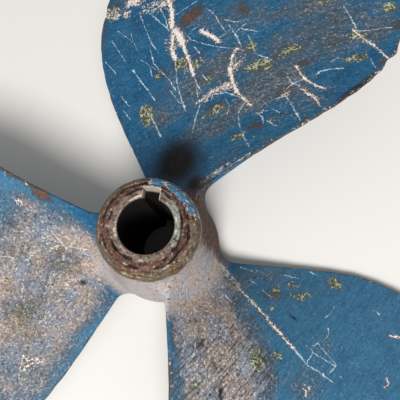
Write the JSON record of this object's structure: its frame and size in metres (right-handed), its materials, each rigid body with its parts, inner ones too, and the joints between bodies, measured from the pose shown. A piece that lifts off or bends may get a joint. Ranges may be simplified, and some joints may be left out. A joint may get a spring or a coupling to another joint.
{
  "type": "boat propeller",
  "caption": "Left-hand boat propeller cast in one piece: broad round-tipped blades on a flared hub with a tapered, keyed shaft bore, in worn blue paint.",
  "frame": {"origin": "on the shaft axis at the balance point: within 1 mm of the centroid, and 1.5 mm under the middle of the blades' pressure faces at seven tenths of the radius", "axes": "+Z along the shaft axis towards the aft, nut end of the hub; +Y through the keyway"},
  "size_m": [0.3736, 0.3626, 0.0762],
  "materials": {
    "painted_bronze": "blue paint worn through to dull bronze, with green corrosion and scratches"
  },
  "bodies": {
    "root": {"propeller_casting": "painted_bronze"}
  },
  "joints": []
}
